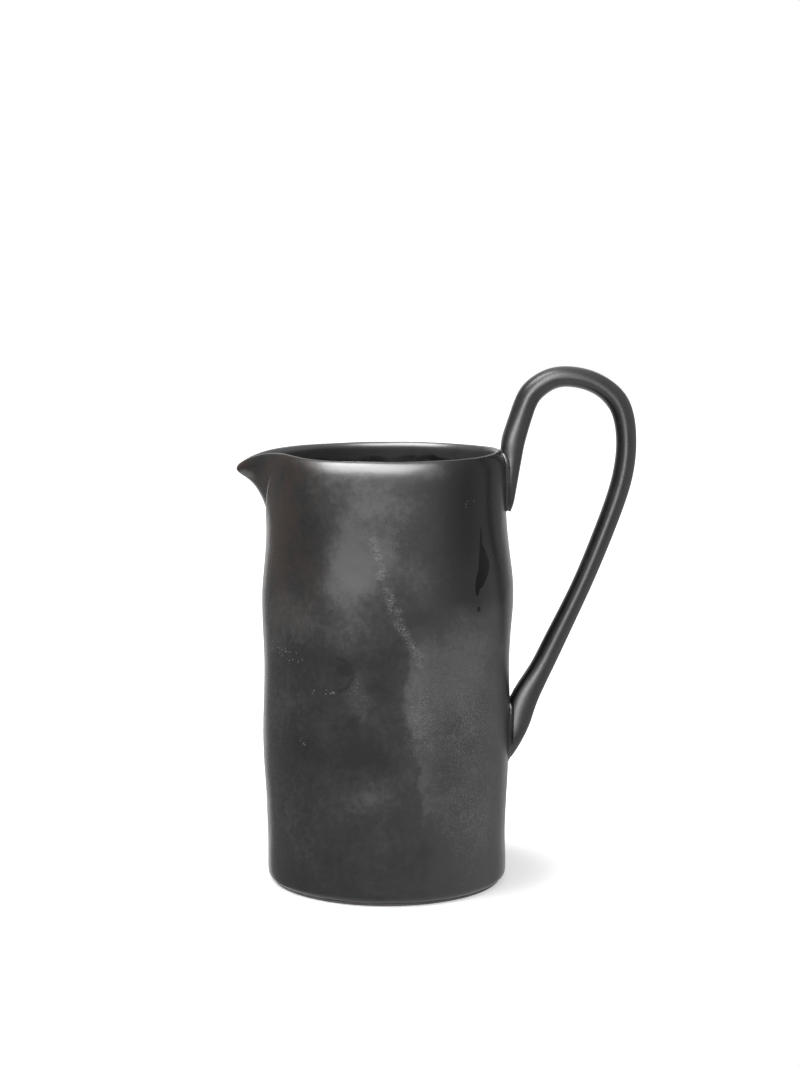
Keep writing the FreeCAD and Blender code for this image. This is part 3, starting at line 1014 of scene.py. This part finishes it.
# Handle
# One roll of clay, flattened to a tongue on the wall under the rim, looped high over the jug
# and brought down to a flared foot that was smeared out on the wall.
handle_reach = 52.7 * mm
handle_rise = 33.0 * mm
handle_thickness = 9.3 * mm
handle_width = 11.4 * mm
handle_bury_share = 0.60
tongue_length = 25.4 * mm
tongue_width = 15.0 * mm
lower_foot_height = 84.0 * mm
lower_foot_length = 30.5 * mm
lower_foot_width = 17.0 * mm
roll_squareness = 2.1
foot_squareness = 3.0
squared_width_share = 1.20
roll_poles = 12
roll_samples = 48
roll_rows = 6
roll_unevenness = 0.06 * mm
roll_patch_size = 16.0 * mm
roll_seed = 23.0
cut_end_round = 1.1 * mm
cut_end_angle = math.radians(50.0)
cut_end_steps = 4

# How far below the rim the tongue is, how far it stands out, and its width
tongue_shares = (
    (1.00, 0.20, 0.86), (0.96, 0.32, 0.99), (0.65, 0.46, 1.00), (0.31, 0.62, 0.96), (0.08, 0.73, 0.92),
)

# How far out and up the roll is, its thickness and its width
roll_shares = (
    (0.049, 1.112, 1.13, 1.19),
    (0.091, 1.352, 1.11, 1.10),
    (0.146, 1.615, 1.08, 1.04),
    (0.214, 1.806, 1.08, 1.01),
    (0.343, 1.952, 1.03, 0.99),
    (0.482, 2.000, 0.98, 0.98),
    (0.636, 1.970, 0.98, 0.98),
    (0.786, 1.870, 0.99, 0.99),
    (0.915, 1.682, 1.03, 1.00),
    (0.981, 1.427, 1.00, 1.00),
    (1.000, 1.148, 0.97, 1.00),
    (0.993, 0.964, 0.97, 1.01),
    (0.959, 0.872, 0.97, 1.00),
    (0.894, 0.769, 0.96, 0.99),
    (0.816, 0.665, 0.95, 0.98),
    (0.723, 0.549, 0.94, 0.98),
    (0.621, 0.432, 0.94, 0.98),
    (0.511, 0.317, 0.98, 0.99),
    (0.397, 0.200, 1.04, 1.01),
    (0.287, 0.090, 1.09, 1.08),
    (0.167, -0.020, 1.28, 1.24),
)

# How far below its top the lower foot is, how far it stands out, and its width
lower_foot_shares = ((0.40, 0.99, 0.96), (0.64, 0.65, 1.00), (0.84, 0.33, 0.86), (1.00, -0.02, 0.52))


def roll_stations():
    """Centre, half thickness, half width and squareness along the handle, tongue first."""
    wall_top = wall_radius(0.0, body_height)
    buried = handle_bury_share * wall_thickness
    stations = []
    for below, out, width in tongue_shares:
        outer = wall_top + out * handle_thickness
        inner = wall_top - buried
        height = body_height - below * tongue_length
        stations.append((0.5 * (outer + inner), height, 0.5 * (outer - inner),
                         0.5 * width * tongue_width, foot_squareness))
    for out, level, thickness, width in roll_shares:
        squared = smooth((width - 1.0) / (squared_width_share - 1.0))
        squareness = roll_squareness + squared * (foot_squareness - roll_squareness)
        height = lower_foot_height + min(1.0, level) * (body_height - lower_foot_height)
        height += max(0.0, level - 1.0) * handle_rise
        stations.append((wall_top + out * handle_reach, height, 0.5 * thickness * handle_thickness,
                         0.5 * width * handle_width, squareness))
    for below, out, width in lower_foot_shares:
        height = lower_foot_height - below * lower_foot_length
        outer = wall_radius(0.0, height) + out * handle_thickness
        inner = wall_radius(0.0, height) - buried
        stations.append((0.5 * (outer + inner), height, 0.5 * (outer - inner),
                         0.5 * width * lower_foot_width, foot_squareness))
    return stations


def roll_grid(stations):
    """Points over a roll of clay along the stations, row by row from the tongue's end."""
    last = len(stations) - 1
    rings = []
    for i, (x, z, half_thickness, half_width, squareness) in enumerate(stations):
        before = stations[max(0, i - 1)]
        after = stations[min(last, i + 1)]
        along = Vector((after[0] - before[0], 0.0, after[1] - before[1])).normalized()
        across = Vector((along.z, 0.0, -along.x))
        ring = []
        for k in range(roll_poles):
            turn = math.tau * k / roll_poles
            sides = (math.cos(turn), math.sin(turn))
            wide, deep = [math.copysign(abs(side) ** (2.0 / squareness), side) for side in sides]
            place = Vector((x, wide * half_width, z)) + across * (deep * half_thickness)
            ring.append(tuple(place))
        rings.append(drawn_through(np.array(ring), True))
    poles = drawn_through(np.array(rings), False)
    places = np.linspace(0.0, len(stations) - 3.0, (len(stations) - 3) * roll_rows + 1)
    return spread_over(poles, places, roll_samples)


roll_points = roll_grid(roll_stations())
roll_normals = outward(roll_points, False)
centre_line = roll_points.mean(1, keepdims=True)
roll_normals *= np.sign(((roll_points - centre_line) * roll_normals).sum(2).mean())
roll_marks = rough(roll_points, roll_patch_size, roll_seed) * roll_unevenness
roll = grid_mesh("handle_roll", lowered(roll_points, roll_normals, roll_marks), False)
softened = roll.modifiers.new("cut_ends", "BEVEL")
softened.limit_method = "ANGLE"
softened.angle_limit = cut_end_angle
softened.width = cut_end_round
softened.segments = cut_end_steps
settle(roll)

luted_grid = wall_grid(grown(wall_stations, luting_thickness), wall_samples // 2)
luted_wall = grid_mesh("luted_wall", luted_grid, True)
handle = shaped("handle_clay", roll, ("DIFFERENCE", luted_wall))
glazed(handle, plain_satin, plain_satin)
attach(handle, "root")
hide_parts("handle")

# Luting slips of the handle
# Slip was brushed under the tongue and the foot. What squeezed out was smoothed with a wet
# brush into a narrow hollow fillet all round each joint.
bead_leg = 1.15 * mm
bead_unevenness_share = 0.35
bead_patch_size = 5.0 * mm
bead_seed = 31.0
bead_sink = 0.4 * mm
bead_steps = 6
bead_points = 260
bead_smoothing = 6
least_lean = 0.4
fewest_joint_points = 40
joint_tolerance = 0.002 * mm
feet_split_height = 130.0 * mm


def joint_lines(piece, slip_face):
    """The closed lines where a piece of clay leaves the slip on the wall."""
    shell = bmesh.new()
    shell.from_mesh(piece.data)
    covered = set()
    for face in shell.faces:
        if slip_face.find_nearest(face.calc_center_median())[3] < joint_tolerance:
            covered.add(face.index)
    beside = {}
    for edge in shell.edges:
        sides = [face.index in covered for face in edge.link_faces]
        if sides.count(True) == 1 and len(sides) == 2:
            first, second = edge.verts
            beside.setdefault(first.index, []).append(second.index)
            beside.setdefault(second.index, []).append(first.index)
    lines = []
    shell.verts.ensure_lookup_table()
    while beside:
        step = next(iter(beside))
        line = []
        while step is not None:
            line.append(tuple(shell.verts[step].co))
            onward = [other for other in beside.pop(step) if other in beside]
            step = onward[0] if onward else None
        lines.append(np.array(line))
    shell.free()
    return lines


def calmed(line):
    """Each point or direction of a closed line, averaged with its neighbours."""
    return 0.25 * np.roll(line, 1, 0) + 0.5 * line + 0.25 * np.roll(line, -1, 0)


def evened(line):
    """The closed line with evenly spaced points and its corners eased."""
    closed = np.vstack([line, line[:1]])
    travel = np.concatenate(([0.0], np.cumsum(np.linalg.norm(np.diff(closed, axis=0), axis=1))))
    wanted = np.arange(bead_points) * travel[-1] / bead_points
    even = np.stack([np.interp(wanted, travel, closed[:, axis]) for axis in range(3)], 1)
    for _ in range(bead_smoothing):
        even = calmed(even)
    return even


def eased(directions):
    """Directions along a closed line, averaged with their neighbours and made unit length."""
    for _ in range(bead_smoothing):
        directions = unit(calmed(directions))
    return directions


def square_to(ahead, normals, towards):
    """Unit directions across a line, along faces with these normals, on the side given."""
    side = np.cross(ahead, normals)
    return unit(side * np.sign((side * towards).sum(1, keepdims=True)))


def slip_bead(name, line, wall_face, roll_face):
    """A hollow fillet of slip along the joint of a roll and the wall."""
    line = evened(line)
    onto_wall = [wall_face.find_nearest(Vector(point)) for point in line]
    off_wall = eased(np.array([tuple(found[1]) for found in onto_wall]))
    off_roll = eased(np.array([tuple(roll_face.find_nearest(Vector(point))[1]) for point in line]))
    gap = np.array([found[3] for found in onto_wall])
    ahead = unit(np.roll(line, -1, 0) - np.roll(line, 1, 0))
    away = square_to(ahead, off_wall, off_roll)
    upward = square_to(ahead, off_roll, off_wall)
    lean = np.maximum(least_lean, (upward * off_wall).sum(1))
    corner = line - upward * (gap / lean)[:, None]
    swing = rough(line, bead_patch_size, bead_seed) - 0.5
    leg = (bead_leg * (1.0 + bead_unevenness_share * swing))[:, None]
    height = leg + gap[:, None]
    rows = [corner - away * bead_sink + upward * height, corner + upward * height]
    for step in range(1, bead_steps):
        share = step / bead_steps
        rows.append(corner + upward * height * (1.0 - share) ** 2 + away * leg * share ** 2)
    rows.append(corner + away * leg)
    rows.append(corner + away * leg - off_wall * bead_sink)
    rows.append(corner - away * 2.0 * bead_sink - off_wall * bead_sink)
    return grid_mesh(name, np.array(rows).transpose(1, 0, 2), True)


def faces_of(piece):
    """The faces of a piece of clay, to look up the nearest of them."""
    mesh = piece.data
    return BVHTree.FromPolygons([v.co for v in mesh.vertices], [p.vertices for p in mesh.polygons])


wall_face, slip_face, roll_face = faces_of(wall_clay), faces_of(luted_wall), faces_of(roll)
for line in joint_lines(handle, slip_face):
    if len(line) < fewest_joint_points:
        continue
    upper = line[:, 2].mean() > feet_split_height
    name = "upper_luting_slip" if upper else "lower_luting_slip"
    bead = slip_bead(name + "_bead", line, wall_face, roll_face)
    glazed(bead, pooled_glaze, pooled_glaze)
    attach(bead, "root")
    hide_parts(name)

# Light
# A broad soft light hangs overhead to the left, with a wide window of light up in front whose
# reflection shows in the glaze. The room is white, and dim on the viewer's side.
white = (1.0, 1.0, 1.0, 1.0)
overhead_place = Vector((-0.50, -0.20, 1.30))
overhead_aim = Vector((0.0, 0.0, 0.10))
overhead_size = 0.80
overhead_power = 13.0
window_azimuth = 250.0
window_elevation = 47.0
window_distance = 1.55
window_width = 2.6
window_height = 1.55
window_power = 160.0
jug_middle = Vector((0.0, 0.0, 0.12))


def soft_light(name, place, aim, shape, width, height, power):
    """An area light that faces a point."""
    lamp = bpy.data.lights.new(name, "AREA")
    lamp.shape = shape
    lamp.size = width
    if shape == "RECTANGLE":
        lamp.size_y = height
    lamp.energy = power
    hung = placed(name, lamp)
    hung.location = place
    hung.rotation_euler = (aim - place).to_track_quat("-Z", "Y").to_euler()
    return hung


soft_light("overhead_light", overhead_place, overhead_aim, "DISK", overhead_size, 0.0, overhead_power)
lift = math.radians(window_elevation)
window_place = jug_middle + Vector(at_turn(
    window_azimuth, window_distance * math.cos(lift), window_distance * math.sin(lift)))
window = soft_light("window_light", window_place, jug_middle, "RECTANGLE",
                    window_width, window_height, window_power)

# The dim part of the room, which only reflections show. It pales towards the white backdrop.
screen_radius = 2.2
screen_low = -1.4
screen_high = 3.4
screen_start = 121.0
screen_end = 417.0
screen_steps = 36
screen_level_left = 0.36
screen_level_right = 0.76
screen_level_behind = 0.24
screen_left = -0.2
screen_back = 0.4
screen_points = []
for step in range(screen_steps + 1):
    azimuth = screen_start + (screen_end - screen_start) * step / screen_steps
    screen_points += [at_turn(azimuth, screen_radius, level) for level in (screen_low, screen_high)]
screen = meshed("dim_screen", screen_points, [], [
    (2 * i, 2 * i + 1, 2 * i + 3, 2 * i + 2) for i in range(screen_steps)])
screen.visible_camera = False
screen.visible_diffuse = False
screen.visible_shadow = False
screen_cloth, screen_shader, screen_place = new_material("dim_cloth")
screen_shader.inputs["Base Color"].default_value = (0.0, 0.0, 0.0, 1.0)
screen_shader.inputs["Specular IOR Level"].default_value = 0.0
screen_shader.inputs["Emission Color"].default_value = white
screen_across, screen_depth = parted(screen_place)[:2]
screen_level = faded(screen_across, screen_left, screen_radius, screen_level_left, screen_level_right)
screen_level = faded(screen_depth, screen_back, screen_radius, screen_level, screen_level_behind)
fill(screen_shader.inputs["Emission Strength"], screen_level)
screen.data.materials.append(screen_cloth)

# The white room is seen at its full brightness, but it lights the jug with only half of that
room_light = 0.50


def seen_by(tree, ray):
    """1 for one kind of ray and 0 for all others."""
    return made_by(tree, "ShaderNodeLightPath", {}, "Is " + ray + " Ray")


world = bpy.data.worlds.new("white_room")
bpy.context.scene.world = world
world.use_nodes = True
background = world.node_tree.nodes["Background"]
background.inputs["Color"].default_value = white
room_seen = larger(seen_by(world.node_tree, "Camera"), seen_by(world.node_tree, "Glossy"))
room_seen = larger(room_seen, seen_by(world.node_tree, "Transmission"))
fill(background.inputs["Strength"], room_seen * (1.0 - room_light) + room_light)

# A narrow card in front shows as the bright line along the handle
card_azimuth = 262.0
card_distance = 1.9
card_level = 0.85
card_width = 0.60
card_height = 2.6
card_power = 58.0
card_place = Vector(at_turn(card_azimuth, card_distance, card_level))
card = soft_light("front_card", card_place, jug_middle, "RECTANGLE", card_width, card_height, card_power)
for lamp, link_state in ((card, "INCLUDE"), (window, "EXCLUDE")):
    lamp.visible_diffuse = False
    lamp.visible_camera = False
    linked = bpy.data.collections.new(lamp.name + "_linked")
    linked.objects.link(handle)
    lamp.light_linking.receiver_collection = linked
    linked.collection_objects[0].light_linking.link_state = link_state

# The table top is white paper that ends a little in front of the jug
table_side = 2.5
table_front = 0.14
table_back = 3.0
table_near = 0.06
table_far = 0.10
table_glow_near = 0.42
table_glow_far = 0.80
table_white = (0.82, 0.82, 0.82, 1.0)
table_roughness = 0.9
table_corners = [(side * table_side, end, 0.0) for side, end in (
    (-1.0, -table_front), (1.0, -table_front), (1.0, table_back), (-1.0, table_back))]
table = meshed("table", table_corners, [], [(0, 1, 2, 3)])
table_paper, table_shader, table_place = new_material("white_paper")
table_shader.inputs["Base Color"].default_value = table_white
table_shader.inputs["Roughness"].default_value = table_roughness
table_shader.inputs["Emission Color"].default_value = white
table_distance = vector_step("LENGTH", table_place, output="Value")
table_glow = faded(table_distance, table_near, table_far, table_glow_near, table_glow_far)
fill(table_shader.inputs["Emission Strength"], seen_by(table_place.tree, "Camera") * table_glow)
table.data.materials.append(table_paper)
table.visible_glossy = False

for block in (joint_block, seat_block, wall_clay, roll, luted_wall):
    bpy.data.objects.remove(block)
